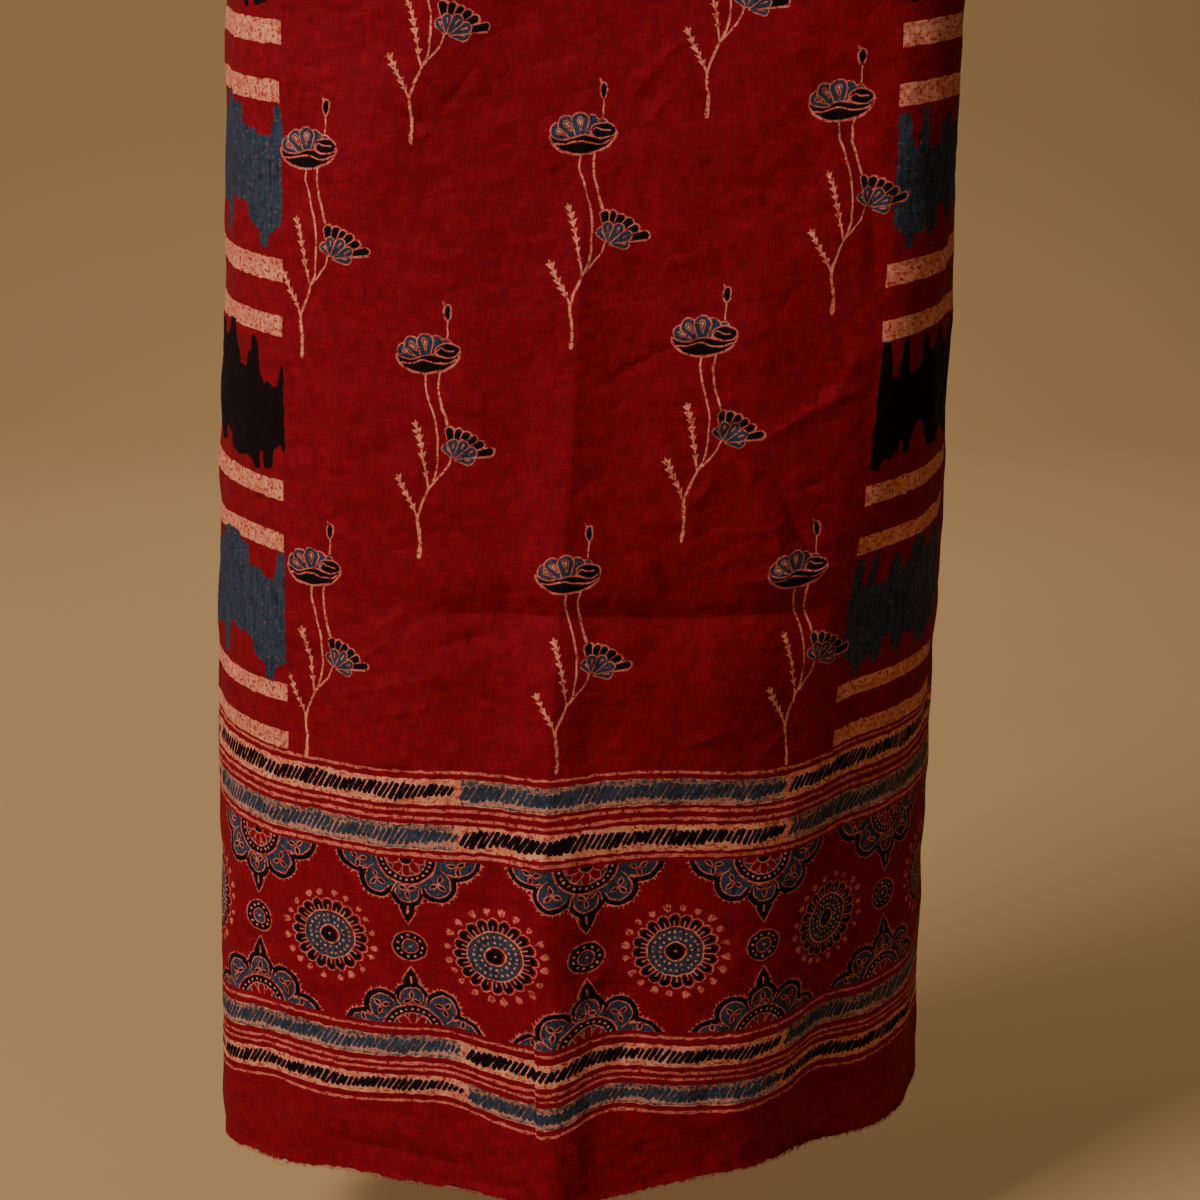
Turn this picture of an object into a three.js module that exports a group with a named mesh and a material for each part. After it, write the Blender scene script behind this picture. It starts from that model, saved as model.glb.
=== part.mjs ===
// A block-printed cotton cloth, hung from its top edge so that it falls round in one deep curve.
// Millimetres, +Z up. The origin is the middle of the top edge, and the printed face looks towards -Y.
// Places on the cloth are given across, from its middle line to the right, and up, from its hem.

import * as THREE from 'three';

// Driving sizes
const CLOTH_WIDTH = 560;
const DROP = 800;
const THICKNESS = 2;
const HEM_UNEVEN_REACH = 120;
const FOLDS_FADE_FROM = 400;
const FOLDS_FADE_OVER = 200;
const COLUMNS = 48;
const ROWS = 32;
const STEPS_IN_COLUMN = 4;
const CLOTH_COLOUR = 0x781216;

// Distances from the middle line at which each section gives the turn of the cloth
const KNOTS = [0, 75, 152, 205, 245, 280];

// Plan sections from the hem up: the height above the hem, the sideways place of the middle line,
// and how far the cloth has turned back from the front at each knot, in degrees, on either side
const SECTIONS = [
  { height: 0, middle: -15, left: [0, 23, 21, 64, 89, 108], right: [0, 30, 39, 46, 76, 78] },
  { height: 220, middle: -17, left: [0, 19, 34, 63, 81, 108], right: [0, 19, 35, 56, 72, 76] },
  { height: 440, middle: -8.5, left: [0, 6, 36, 71, 81, 108], right: [0, 3, 17, 76, 81, 84] },
  { height: 700, middle: 0, left: [0, 0, 27, 82, 85, 108], right: [0, -3, 5, 91, 90, 92] },
  { height: 800, middle: 0, left: [0, 0, 27, 82, 85, 108], right: [0, -3, 5, 91, 90, 92] },
];

// Main folds: each runs from one place on the cloth, as across and up, to another. It stands out by rise
// in its middle (in, where rise is negative) and dies away over its half width and over fade past its ends
const FOLDS = [
  { name: 'storage crease', from: [-13, -60], to: [-2, 420], halfWidth: 28, rise: 4, fade: 200 },
  { name: 'far left hem swell', from: [-215, -60], to: [-208, 100], halfWidth: 36, rise: 5, fade: 120 },
  { name: 'left hem hollow', from: [-168, -60], to: [-166, 80], halfWidth: 32, rise: -3, fade: 110 },
  { name: 'inner left hollow', from: [-62, -60], to: [-66, 90], halfWidth: 38, rise: -5, fade: 110 },
  { name: 'middle hollow', from: [28, -60], to: [34, 120], halfWidth: 38, rise: -5, fade: 120 },
  { name: 'right hem swell', from: [98, -60], to: [108, 130], halfWidth: 52, rise: 7, fade: 130 },
  { name: 'right border hollow', from: [156, -60], to: [172, 330], halfWidth: 32, rise: -3, fade: 120 },
  { name: 'level crease', from: [-75, 318], to: [158, 316], halfWidth: 30, rise: -2.5, fade: 50 },
];

// The raw hem's own unevenness: how far it drops below its level line
const HEM_DROPS = [
  { across: -280, drop: -2 },
  { across: -180, drop: 1.5 },
  { across: -110, drop: -1 },
  { across: -40, drop: 1.5 },
  { across: 60, drop: -1 },
  { across: 130, drop: -1.5 },
  { across: 190, drop: 1.5 },
  { across: 280, drop: -1 },
];

const degrees = Math.PI / 180;

function mix(a, b, share) {
  return a + (b - a) * share;
}

function smooth(share) {
  const held = Math.min(Math.max(share, 0), 1);
  return held * held * (3 - 2 * held);
}

// Smooth curve through a table's values, level with the mean slope at each inner row
function curveThrough(places, values, place) {
  const last = places.length - 1;
  let low = 0;
  while (low < last - 1 && place > places[low + 1]) {
    low += 1;
  }
  const slopeAt = (index) => {
    const before = Math.max(index - 1, 0);
    const after = Math.min(index + 1, last);
    return (values[after] - values[before]) / (places[after] - places[before]);
  };
  const span = places[low + 1] - places[low];
  const share = (place - places[low]) / span;
  const square = share * share;
  const cube = square * share;
  return (2 * cube - 3 * square + 1) * values[low]
    + (cube - 2 * square + share) * span * slopeAt(low)
    + (3 * square - 2 * cube) * values[low + 1]
    + (cube - square) * span * slopeAt(low + 1);
}

function sectionAt(up) {
  const heights = SECTIONS.map((row) => row.height);
  const place = Math.max(up, 0);
  const blend = (pick) => curveThrough(heights, SECTIONS.map(pick), place);
  return {
    middle: blend((row) => row.middle),
    left: KNOTS.map((_, knot) => blend((row) => row.left[knot])),
    right: KNOTS.map((_, knot) => blend((row) => row.right[knot])),
  };
}

// The turn of the cloth at a distance from the middle line, in radians
function turnAt(turns, distance) {
  let low = 0;
  while (low < KNOTS.length - 2 && distance > KNOTS[low + 1]) {
    low += 1;
  }
  const share = (distance - KNOTS[low]) / (KNOTS[low + 1] - KNOTS[low]);
  return mix(turns[low], turns[low + 1], share) * degrees;
}

// Walk out from the middle line along one side, and give the plan point and outward normal at each column
function walkSide(section, side) {
  const turns = side < 0 ? section.left : section.right;
  const step = CLOTH_WIDTH / COLUMNS / STEPS_IN_COLUMN;
  const stops = [];
  let x = section.middle;
  let y = 0;
  for (let count = 0; count <= COLUMNS / 2 * STEPS_IN_COLUMN; count += 1) {
    const turn = turnAt(turns, count * step);
    if (count % STEPS_IN_COLUMN === 0) {
      stops.push({ x, y, normalX: side * Math.sin(turn), normalY: -Math.cos(turn) });
    }
    const halfway = turnAt(turns, (count + 0.5) * step);
    x += side * Math.cos(halfway) * step;
    y += Math.sin(halfway) * step;
  }
  return stops;
}

function foldRise(across, up) {
  let total = 0;
  for (const fold of FOLDS) {
    const [fromAcross, fromUp] = fold.from;
    const [toAcross, toUp] = fold.to;
    const length = Math.hypot(toAcross - fromAcross, toUp - fromUp);
    const shareAcross = (toAcross - fromAcross) / length;
    const shareUp = (toUp - fromUp) / length;
    const along = (across - fromAcross) * shareAcross + (up - fromUp) * shareUp;
    const aside = (across - fromAcross) * shareUp - (up - fromUp) * shareAcross;
    const ends = smooth(Math.min(along, length - along) / fold.fade + 1);
    total += fold.rise * smooth(1 - Math.abs(aside) / fold.halfWidth) * ends;
  }
  return total;
}

function hemDrop(across, up) {
  const drop = curveThrough(HEM_DROPS.map((row) => row.across), HEM_DROPS.map((row) => row.drop), across);
  return drop * (1 - smooth(up / HEM_UNEVEN_REACH));
}

// Two grids of points, the printed face and the back, listed row by row from the hem up
function clothPoints() {
  const front = [];
  const back = [];
  for (let row = 0; row <= ROWS; row += 1) {
    const up = DROP * row / ROWS;
    const section = sectionAt(up);
    const left = walkSide(section, -1).reverse();
    const stops = left.concat(walkSide(section, 1).slice(1));
    stops.forEach((stop, column) => {
      const across = CLOTH_WIDTH * (column / COLUMNS - 0.5);
      const rise = foldRise(across, up) * (1 - smooth((up - FOLDS_FADE_FROM) / FOLDS_FADE_OVER));
      const z = up - DROP - hemDrop(across, up);
      front.push(stop.x + stop.normalX * rise, stop.y + stop.normalY * rise, z);
      const behind = rise - THICKNESS;
      back.push(stop.x + stop.normalX * behind, stop.y + stop.normalY * behind, z);
    });
  }
  return { front, back };
}

function clothGeometry() {
  const { front, back } = clothPoints();
  const across = COLUMNS + 1;
  const layer = across * (ROWS + 1);
  const triangles = [];
  const quad = (a, b, c, d) => triangles.push(a, b, c, a, c, d);
  for (let row = 0; row < ROWS; row += 1) {
    for (let column = 0; column < COLUMNS; column += 1) {
      const corner = row * across + column;
      quad(corner, corner + 1, corner + across + 1, corner + across);
      const hidden = corner + layer;
      quad(hidden, hidden + across, hidden + across + 1, hidden + 1);
    }
    const start = row * across;
    quad(start, start + across, start + across + layer, start + layer);
    const end = start + COLUMNS;
    quad(end, end + layer, end + across + layer, end + across);
  }
  for (let column = 0; column < COLUMNS; column += 1) {
    quad(column, column + layer, column + layer + 1, column + 1);
    const top = ROWS * across + column;
    quad(top, top + 1, top + 1 + layer, top + layer);
  }
  const geometry = new THREE.BufferGeometry();
  geometry.setAttribute('position', new THREE.Float32BufferAttribute(front.concat(back), 3));
  geometry.setIndex(triangles);
  geometry.computeVertexNormals();
  return geometry;
}

const clothMaterial = new THREE.MeshStandardMaterial({ color: CLOTH_COLOUR, roughness: 0.9, metalness: 0 });

const cloth = new THREE.Mesh(clothGeometry(), clothMaterial);
cloth.name = 'cloth';

const hangingCloth = new THREE.Group();
hangingCloth.add(cloth);

export default hangingCloth;
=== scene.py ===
import math
import random

import bpy
import numpy as np
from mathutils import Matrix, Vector
from mathutils.geometry import delaunay_2d_cdt


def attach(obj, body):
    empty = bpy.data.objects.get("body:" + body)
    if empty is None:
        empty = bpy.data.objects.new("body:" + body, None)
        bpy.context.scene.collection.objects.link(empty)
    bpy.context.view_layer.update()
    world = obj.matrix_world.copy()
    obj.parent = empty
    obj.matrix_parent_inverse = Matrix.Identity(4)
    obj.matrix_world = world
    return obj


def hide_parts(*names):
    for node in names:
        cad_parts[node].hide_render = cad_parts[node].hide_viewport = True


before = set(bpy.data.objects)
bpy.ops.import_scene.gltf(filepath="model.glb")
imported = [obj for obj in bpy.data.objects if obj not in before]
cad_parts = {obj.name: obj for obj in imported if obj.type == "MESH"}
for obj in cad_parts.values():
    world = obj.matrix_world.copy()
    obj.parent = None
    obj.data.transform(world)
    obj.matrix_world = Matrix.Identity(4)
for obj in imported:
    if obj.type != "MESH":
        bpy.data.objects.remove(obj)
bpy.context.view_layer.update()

# A block-printed cotton cloth hung from its top edge. Places on the cloth are in millimetres: across, from
# its middle line to the right, and up, from its hem. The scene itself is in metres.
MM = 0.001

# Sizes of the cloth, and where the hem's unevenness and the main folds die away
CLOTH_WIDTH = 560.0
HALF_WIDTH = CLOTH_WIDTH / 2
DROP = 800.0
THICKNESS = 0.9
HEM_UNEVEN_REACH = 120.0
FOLDS_FADE_FROM = 400.0
FOLDS_FADE_OVER = 200.0

# The fine grid that carries the shape, and the spacing of points in the meshes cut from it
GRID_ACROSS = 1.0
GRID_UP = 1.0
MESH_PITCH = 6.4
BACK_PITCH = 11.0
HEM_PITCH = 1.6
HEM_ROWS = (1.3, 2.8, 4.6)
HEM_ROW_START = 2.0
HEM_ROW_PITCH = 3.0
EDGE_CLEAR = 1.0
CUT_TOLERANCE = 1e-4
NEARLY_NOTHING = 1e-9

# The print stops just short of the edges. The back shows only shapes above a least area.
EDGE_BARE = 0.6
BACK_LEAST_AREA = dict(red=2000.0, rose=40.0)
BACK_LEAST_OTHER = 13.0
BACK_FULL_POINTS = 8

# Plan sections from the hem up, as in the solid: height, sideways place of the middle line, and the turn of
# the cloth at each knot on the left and on the right, in degrees
KNOTS = (0, 75, 152, 205, 245, 280)
SECTIONS = (
    dict(height=0, middle=-15, left=(0, 23, 21, 64, 89, 108), right=(0, 30, 39, 46, 76, 78)),
    dict(height=220, middle=-17, left=(0, 19, 34, 63, 81, 108), right=(0, 19, 35, 56, 72, 76)),
    dict(height=440, middle=-8.5, left=(0, 6, 36, 71, 81, 108), right=(0, 3, 17, 76, 81, 84)),
    dict(height=700, middle=0, left=(0, 0, 27, 82, 85, 108), right=(0, -3, 5, 91, 90, 92)),
    dict(height=800, middle=0, left=(0, 0, 27, 82, 85, 108), right=(0, -3, 5, 91, 90, 92)),
)

# Main folds, as in the solid: start, end, half width, rise and the length over which the ends die away
FOLDS = (
    dict(name="storage crease", start=(-13, -60), end=(-2, 420), half=28, rise=4, fade=200),
    dict(name="far left hem swell", start=(-215, -60), end=(-208, 100), half=36, rise=5, fade=120),
    dict(name="left hem hollow", start=(-168, -60), end=(-166, 80), half=32, rise=-3, fade=110),
    dict(name="inner left hollow", start=(-62, -60), end=(-66, 90), half=38, rise=-5, fade=110),
    dict(name="middle hollow", start=(28, -60), end=(34, 120), half=38, rise=-5, fade=120),
    dict(name="right hem swell", start=(98, -60), end=(108, 130), half=52, rise=7, fade=130),
    dict(name="right border hollow", start=(156, -60), end=(172, 330), half=32, rise=-3, fade=120),
    dict(name="level crease", start=(-75, 318), end=(158, 316), half=30, rise=-2.5, fade=50),
)

# Sharp creases pressed into the cloth: their points, half width, rise and end fade
CREASES = (
    dict(points=((1, 600), (0, 420), (-5, 250), (-9, 110)), half=14, rise=1.5, fade=80),
    dict(points=((-78, 319), (-10, 320), (70, 316), (152, 318)), half=20, rise=-3.7, fade=30),
    dict(points=((80, 335), (118, 337), (156, 343)), half=8, rise=1.4, fade=18),
    dict(points=((-72, 300), (-52, 306), (-31, 311)), half=9, rise=-1.8, fade=12),
    dict(points=((-137, 264), (-100, 277), (-60, 288)), half=9, rise=1.5, fade=20),
    dict(points=((20, 402), (60, 396), (110, 398)), half=12, rise=0.9, fade=25),
    dict(points=((-120, 160), (-60, 172), (10, 168)), half=12, rise=0.8, fade=30),
    dict(points=((6, 95), (7, 40), (8, 2)), half=7, rise=0.9, fade=25),
    dict(points=((-146, 17), (-95, 16), (-42, 12)), half=13, rise=-2.4, fade=30),
    dict(points=((-158, 32), (-104, 30), (-58, 24)), half=12, rise=1.6, fade=30),
    dict(points=((-64, 7), (-40, 6), (-18, 8)), half=7, rise=-1.3, fade=12),
    dict(points=((60, 520), (95, 470), (150, 440)), half=14, rise=2.1, fade=40),
    dict(points=((100, 610), (140, 540), (150, 470)), half=15, rise=-2.0, fade=50),
    dict(points=((-120, 500), (-60, 470), (-20, 420)), half=18, rise=1.0, fade=50),
    dict(points=((90, 382), (104, 360), (116, 336)), half=9, rise=1.8, fade=14),
    dict(points=((104, 384), (118, 360), (130, 338)), half=9, rise=-1.7, fade=14),
    dict(points=((84, 404), (118, 424), (152, 438)), half=13, rise=2.0, fade=24),
)
CREASE_SOFT = 0.2
CREASE_POWER = 3

# Small creases scattered over the field: how many, and the spans of their places and shapes
SMALL_CREASES = dict(
    count=110, across=150, up=(10, 640), length=(16, 62), half=(5.0, 11.0), rise=(0.45, 1.45), slant=36,
    bow=4, fade=0.8)

# Extra mesh points beside each crease: close to its line, and out at shares of its half width
CREASE_NEAR = 0.7
FRONT_CREASE = dict(spacing=5.5, sides=(-0.55, 0.55))
BACK_CREASE = dict(spacing=7.5, sides=())

# The narrow pleat where the storage crease reaches the borders: a sharp step, a lit slope and a gentle fall.
# The print slips down a little on it. Its mesh points lie at these distances from its left side.
PLEAT = dict(
    left=-14.4, steep=1.4, ridge=-5.0, fall_to=24.0, step=1.6, rise=3.4, slip=1.8, full_to=80.0,
    gone_by=190.0)
PLEAT_POINTS = (-0.6, 0.3, 1.1, 2.0, 5.0, 8.6, 10.2, 14.0, 20.0)
PLEAT_POINTS_FROM = 4.0
PLEAT_GAP = 0.1

# The raw hem's own unevenness: how far it drops below its level line
HEM_DROPS = (
    (-280, -2), (-180, 1.5), (-110, -1), (-40, 1.5), (28, 1.6), (56, -2.4), (90, -5.6), (130, -4.6),
    (165, -1.6), (200, 1.2), (280, -1),
)

# Small unevenness of the cut edge, and the last few millimetres that curl forward
HEM_LIFT = 0.6
ON_HEM = 0.01
HEM_ROUGH = dict(waves=24, shortest=9.0, longest=30.0, height=0.26)
HEM_FUZZ = dict(waves=24, shortest=3.0, longest=7.0, height=0.16)
HEM_CURL = dict(rise=1.3, over=4.5, even=0.6, sway=0.4, sway_length=17.0)

# Shallow undulation all over: number of waves, shortest and longest wave, and height of the longest
CRUMPLE = dict(waves=30, shortest=14.0, longest=110.0, height=0.36)

# Print: how far printed lines drift up (or down) across the borders, and the share of that at each height
DRIFT = (
    (-280, -3), (-215, -3), (-172, 3), (-125, 0), (-62, 5.5), (-35, -0.5), (-12, -3), (27, 6), (62, -1.5),
    (97, -7), (125, -4), (150, 2), (185, -1), (230, 2), (280, 2),
)
DRIFT_SHARES = ((30, 1.0), (43, 1.0), (88, 0.5), (136, 0.12), (187, 0), (800, 0))
DRIFT_UPPER = (
    (-280, 3), (-215, 1.5), (-160, -0.5), (-100, -1), (-55, 1.6), (-8, 0.4), (35, 3.2), (70, 0.6), (100, -3),
    (122, -3.6), (150, 0), (200, 2.6), (280, 3.5),
)
DRIFT_UPPER_SHARES = ((0, 0), (136, 0.1), (187, 0.6), (233, 1.0), (262, 0.4), (300, 0), (800, 0))

# Side bars and blocks climb a little away from the field: rise for each millimetre past the bar's end
CLIMB_LEFT = ((0, 0.02), (240, 0.02), (350, 0.03), (470, 0.06), (610, 0.07), (800, 0.07))
CLIMB_RIGHT = ((0, 0.06), (240, 0.08), (350, 0.16), (490, 0.19), (560, 0.15), (610, 0.13), (800, 0.10))
CLIMB_STOPS = 62.0

# Side bars: upper and lower edge of each, level with each other left and right
BARS = (
    (730.5, 719.0), (702.0, 690.5), (613.8, 602.2), (584.8, 573.8), (496.6, 485.0), (467.8, 457.4),
    (382.0, 371.4), (354.0, 344.0), (271.4, 262.2), (245.6, 236.2),
)
BAR_END_LEFT = -153.5
BAR_END_RIGHT = 152.0
BAR_END_UNEVEN = 0.6
BAR_STRIP = dict(pitch=3.5, ragged=0.22)
BORDER_OUTER = 262.0

# Ragged blocks between the bars: middle height of each and its dye, and side, inner edge and outward sign
BLOCKS = ((770, "blue"), (655, "black"), (537, "blue"), (421, "black"), (308, "blue"))
BLOCK_SIDES = (("left", -153.0, -1), ("right", 152.6, 1))

# Outlines of the blocks: distance out from the inner edge, top and bottom above and below the middle height
BLOCK_ROWS = {
    ("left", "blue"): (
        (0, 30, -18), (1, 36, -24), (5, 35, -27), (7, 25, -28), (8.5, 19, -29), (10, 20, -36),
        (15.5, 20, -36), (16.5, 20, -27), (20, 23, -27), (26, 23, -24), (29, 23, -16), (33, 23, -16),
        (34, 33, -14), (43, 34, -16), (46, 38, -15), (58, 39, -14), (59, 39, -33), (70, 36, -33),
        (71, 28, -20), (84, 27, -20), (86, 36, -22), (97, 34, -27), (106, 30, -24),
    ),
    ("left", "black"): (
        (0, 20, -24), (1.5, 22, -24), (3, 16, -21), (5, 10, -22), (8, 9, -24), (8.5, 10, -33),
        (13, 12, -35), (16, 9, -35), (17.5, 12, -26), (19.5, 14, -26), (20.5, 28, -36), (24, 34, -37),
        (27, 32, -33), (29, 25, -32), (33, 23, -31), (36, 15, -31), (44, 15, -33), (46, 30, -34),
        (47, 38, -33), (58, 38, -31), (61, 30, -24), (70, 26, -22), (72, 34, -30), (84, 34, -32),
        (88, 20, -26), (104, 24, -26),
    ),
    ("right", "blue"): (
        (0, 33, -20), (5, 34, -26), (7, 24, -26), (8, 16, -34), (11.5, 15, -34), (12.5, 32, -28),
        (16, 36, -27), (17, 22, -29), (19, 14, -22), (21, 14, -30), (26, 15, -28), (27, 24, -18),
        (30, 30, -16), (33, 28, -16), (35, 20, -22), (38, 22, -27), (42, 24, -26), (45, 36, -18),
        (58, 34, -20), (64, 24, -30), (78, 26, -28), (84, 34, -20), (98, 30, -24), (106, 26, -22),
    ),
    ("right", "black"): (
        (0, 36, -30), (4, 36, -32), (6, 24, -32), (8, 16, -26), (10, 17, -27), (12, 35, -27),
        (15, 36, -26), (16.5, 22, -25), (18, 16, -17), (20, 17, -27), (24, 18, -27), (26, 22, -15),
        (28, 35, -11), (31, 35, -11), (33, 26, -14), (36, 24, -20), (40, 26, -26), (44, 32, -28),
        (56, 36, -28), (62, 24, -20), (76, 22, -26), (84, 34, -30), (98, 30, -24), (106, 22, -22),
    ),
}

# Sprigs: foot of each stem and its lean to the right, in degrees
SPRIGS = (
    (-141.0, 447.6, 0.6), (-3.0, 456.7, 0.0), (125.6, 472.3, -2.3),
    (-75.8, 348.6, 0.0), (56.4, 357.9, 2.0),
    (-141.7, 234.0, 2.6), (-2.0, 238.0, 0.0), (122.0, 235.6, -3.2),
    (-83.8, 556.6, 0.4), (58.8, 568.7, 0.6),
    (-140.0, 656.0, 0.5), (-3.0, 661.0, -0.5), (124.0, 664.0, -1.0),
)

# Row of round motifs: middle height, first middle and repeat, and how much shorter than wide each is printed
ROW_UP = 136.0
MEDALLION_FIRST = -225.6
MEDALLION_PITCH = 95.7
MEDALLION_COUNT = 6
MEDALLION_SHRINK = 0.9
ROUNDEL_DROP = 0.3
ROUNDEL_SHRINK = 0.86
LOTUS_TOP = 186.2
LOTUS_BOTTOM = 86.4
LOTUS_SHRINK = 0.97

# Border lines and hatched bands: upper and lower edge of each, from the top down
UPPER_LINES = ((234.7, 232.7), (214.2, 212.0), (209.7, 207.5), (189.7, 187.3))
UPPER_BANDS = ((230.4, 216.2), (205.5, 191.4))
LOWER_LINES = ((87.9, 86.0), (67.5, 65.4), (63.9, 62.0), (44.4, 42.4))
LOWER_BANDS = ((82.7, 70.2), (59.2, 47.3))
BLOCK_JOINTS = (-280.0, -229.0, -51.5, 126.0, 280.0)
GROUND_ABOVE = 2.4
GROUND_BELOW = 1.4
LINE_LAP = 0.4
LINE_STEP = 0.3
LINE_THIN = 0.25
LINE_STRIP = dict(pitch=3.6, ragged=0.28)
BAND_STRIP = dict(pitch=3.6, ragged=0.3)

# Strokes of the bands: the bare share of a band above and below them, their size, and their slow swelling as
# height and length of each wave
BARE_ABOVE = 0.16
BARE_BELOW = 0.20
STROKE_PITCH = 3.1
STROKE_WIDTH = 2.3
STROKE_LEAN = 5.6
STROKES_START = 1.5
STROKES_STOP = 3.0
STROKES_TAPER = 20
SWELL_LEVEL = 0.95
SWELLS = ((0.10, 8.0), (0.07, 3.7))
STROKES_RISE = (0.5, 6.0)

# Worn dye under the blue strokes: how far each patch stops short of its block's end, its edges, and how
# ragged they are
VEIL = dict(stops=4, above=0.5, below=0.6, pitch=2.6, ragged=0.6)
WORN_TOP = dict(stops=6, above=0.1, depth=1.5, pitch=2.2, ragged=0.9)
WORN_BOTTOM = dict(stops=3, above=1.3, below=0.5, pitch=4.0, ragged=0.25)
SMEAR = dict(
    block=2, starts=4, stops=20, depth=1.3, least=12, length=(14, 40), gap=(0.5, 3), pitch=3.0, ragged=0.7)
SMEAR_EDGE = dict(pitch=1.6, height=0.4)

# Small waviness of every printed outline
WOBBLE = dict(waves=18, shortest=2.6, longest=9.0, height=0.10)

# Frayed threads along the raw hem: how many, their form, root height, spans of length and sway, and the one
# thread that hangs in a loop
FRAY_COUNT = 1500
FRAY_SIDES = 3
FRAY_STEPS = 4
FRAY_RADIUS = 0.11
FRAY_TIP = 0.35
FRAY_ROOT = 1.4
FRAY_SHORT = (0.3, 1.6)
FRAY_LONG = (1.6, 3.4)
FRAY_SHORT_SHARE = 0.93
FRAY_SWAY = (0.5, 0.4)
LOOP = dict(
    across=-172.0, root=1.0, reach=10.0, bulge=1.0, forward=0.6, fall=6.0, flat=0.8, steps=16, thick=1.3)

# Seeds of the random draws
PRINT_SEED = 7
CREASE_SEED = 31
FRAY_SEED = 17
CRUMPLE_SEED = 11
HEM_ROUGH_SEED = 5
HEM_FUZZ_SEED = 6
WOBBLE_SEEDS = (21, 22)

# Camera: its target, distance and downward look, and the lens on its sensor
CAMERA_TARGET = (0.0035, 0.0, -0.4711)
CAMERA_DISTANCE = 1.5
CAMERA_DOWN = math.radians(14.86)
CAMERA_LENS = 89.6
CAMERA_SENSOR = 36.0

# Stage: a floor that bends up into a backdrop, in metres
FLOOR_UP = -0.89
FLOOR_HALF = 9.0
FLOOR_FRONT = -8.0
BACKDROP_PLACE = 3.4
BACKDROP_TOP = 2.5
BACKDROP_BEND = 1.0
BEND_STEPS = 16

# Lights: place, target, size, power and colour of each, and the light of the room
LIGHTS = (
    dict(name="key", place=(-1.7, -1.5, 1.5), target=(0, 0, -0.4), size=(0.8, 0.8), power=82.0,
         colour=(1.0, 0.93, 0.84)),
    dict(name="fill", place=(1.2, -2.4, 0.4), target=(0, 0, -0.5), size=(1.6, 1.6), power=2.2,
         colour=(1.0, 0.92, 0.82)),
    dict(name="backdrop", place=(-0.6, 1.3, 1.9), target=(0.0, 3.0, -0.7), size=(1.8, 0.9), power=26.0,
         colour=(1.0, 0.95, 0.87)),
    dict(name="behind", place=(0, 2.3, 1.0), target=(0, 0, -0.45), size=(1.2, 1.2), power=16.0,
         colour=(1.0, 0.94, 0.86)),
)
ROOM_COLOUR = (1.0, 0.9, 0.78, 1.0)
ROOM_STRENGTH = 0.06

vary = random.Random(PRINT_SEED).uniform


def smooth(share):
    held = np.clip(share, 0.0, 1.0)
    return held * held * (3.0 - 2.0 * held)


def curve_through(places, values, at):
    """Smooth curve through a table's values, for each place in at."""
    places = np.asarray(places, float)
    values = np.asarray(values, float)
    at = np.asarray(at, float)
    last = len(places) - 1
    index = np.arange(last + 1)
    before = np.maximum(index - 1, 0)
    after = np.minimum(index + 1, last)
    slopes = ((values[after] - values[before]).T / (places[after] - places[before])).T
    low = np.clip(np.searchsorted(places, at, side="right") - 1, 0, last - 1)
    span = places[low + 1] - places[low]
    share = (at - places[low]) / span
    if values.ndim > 1:
        span = span[:, None]
        share = share[:, None]
    square = share * share
    cube = square * share
    return (
        (2 * cube - 3 * square + 1) * values[low]
        + (cube - 2 * square + share) * span * slopes[low]
        + (3 * square - 2 * cube) * values[low + 1]
        + (cube - square) * span * slopes[low + 1]
    )


def table_curve(table, at):
    return curve_through([row[0] for row in table], [row[1] for row in table], at)


def table_line(table, at):
    return np.interp(at, [row[0] for row in table], [row[1] for row in table])


def unit(vectors, least=0.0):
    """The same directions with length one; least keeps a missing direction from dividing by nothing."""
    return vectors / (np.linalg.norm(vectors, axis=-1, keepdims=True) + least)


class Waves:
    """A gentle random surface made of plane waves, the same on every run."""

    def __init__(self, seed, waves, shortest, longest, height):
        picks = random.Random(seed)
        self.rows = []
        for count in range(waves):
            length = shortest * (longest / shortest) ** (count / (waves - 1))
            heading = picks.uniform(0, math.pi)
            pitch = 2 * math.pi / length
            size = height * length / longest
            phase = picks.uniform(0, 2 * math.pi)
            self.rows.append((pitch * math.cos(heading), pitch * math.sin(heading), phase, size))

    def at(self, across, up):
        total = 0.0
        for pitch_across, pitch_up, phase, size in self.rows:
            total = total + size * np.sin(pitch_across * across + pitch_up * up + phase)
        return total


# Shape of the hanging cloth


def fold_rise(across, up):
    total = np.zeros_like(across)
    for fold in FOLDS:
        start = np.array(fold["start"], float)
        run = np.array(fold["end"], float) - start
        length = math.hypot(*run)
        run /= length
        along = (across - start[0]) * run[0] + (up - start[1]) * run[1]
        aside = (across - start[0]) * run[1] - (up - start[1]) * run[0]
        ends = smooth(np.minimum(along, length - along) / fold["fade"] + 1)
        total += fold["rise"] * smooth(1 - np.abs(aside) / fold["half"]) * ends
    return total * (1 - smooth((up - FOLDS_FADE_FROM) / FOLDS_FADE_OVER))


def all_creases():
    """The named creases and short random ones, mostly near level."""
    picks = random.Random(CREASE_SEED)
    creases = list(CREASES)
    field = SMALL_CREASES["across"]
    for _ in range(SMALL_CREASES["count"]):
        across = picks.uniform(-field, field)
        up = picks.uniform(*SMALL_CREASES["up"])
        heading = math.radians(picks.gauss(0, SMALL_CREASES["slant"]))
        reach = picks.uniform(*SMALL_CREASES["length"]) / 2
        run = (reach * math.cos(heading), reach * math.sin(heading))
        bow = picks.uniform(-SMALL_CREASES["bow"], SMALL_CREASES["bow"])
        points = ((across - run[0], up - run[1]), (across, up + bow), (across + run[0], up + run[1]))
        rise = picks.uniform(*SMALL_CREASES["rise"]) * picks.choice((-1, 1))
        half = picks.uniform(*SMALL_CREASES["half"])
        creases.append(dict(points=points, half=half, rise=rise, fade=reach * SMALL_CREASES["fade"]))
    return creases


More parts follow.
